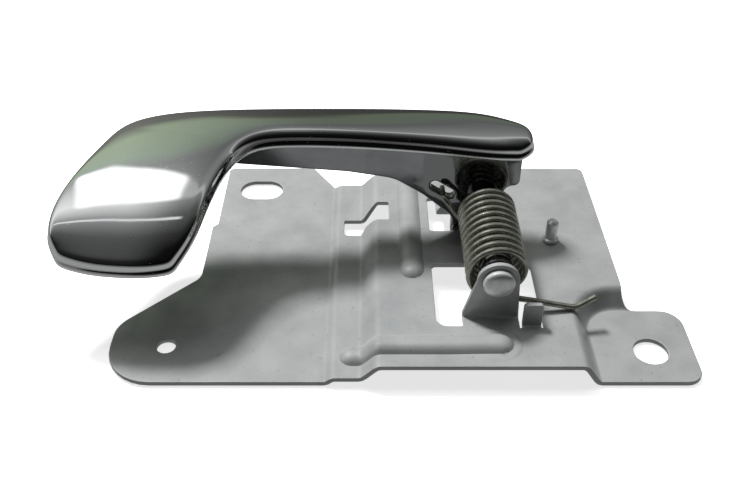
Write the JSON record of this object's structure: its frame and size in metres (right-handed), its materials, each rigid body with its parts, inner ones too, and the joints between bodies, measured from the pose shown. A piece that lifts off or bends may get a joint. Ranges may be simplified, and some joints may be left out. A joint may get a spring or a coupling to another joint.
{
  "type": "interior car door handle",
  "caption": "Interior car door handle: chromed pull lever with a finger paddle, turning on a pin above a stamped steel base plate, with a torsion return spring.",
  "frame": {"origin": "centre of the footprint on the mounting plane, the undersides of the plate's tabs", "axes": "+X along the bar from the paddle to the right-hand fixing tab, +Y from the paddle's tip to the plate's rear edge, +Z away from the door panel towards the hand"},
  "size_m": [0.1678, 0.097, 0.0433],
  "materials": {
    "zinc_plated_steel": "satin zinc-plated sheet steel, stamped",
    "bright_zinc_steel": "bright zinc-plated turned steel",
    "chrome_casting": "polished chrome on a zinc die casting",
    "nylon": "black moulded nylon",
    "spring_steel": "oiled spring steel wire",
    "buffer_rubber": "matt black rubber"
  },
  "bodies": {
    "base": {"base_plate": "zinc_plated_steel", "locating_peg": "bright_zinc_steel", "pivot_pin": "bright_zinc_steel", "pin_washer": "bright_zinc_steel", "retaining_clip": "spring_steel", "torsion_spring": "spring_steel", "rest_buffer": "buffer_rubber"},
    "lever": {"lever": "chrome_casting", "front_bush": "nylon", "rear_bush": "nylon", "rod_grommet": "nylon"}
  },
  "joints": [
    {"name": "lever_pull", "type": "hinge", "parent": "base", "child": "lever", "pos_m": [0.03213, -0.0065, 0.0189], "axis": [0, 1, 0], "range_deg": [0, 28], "stiffness_Nm_per_rad": 0.5, "springref_deg": -28.65, "deforming": ["torsion_spring"]}
  ]
}
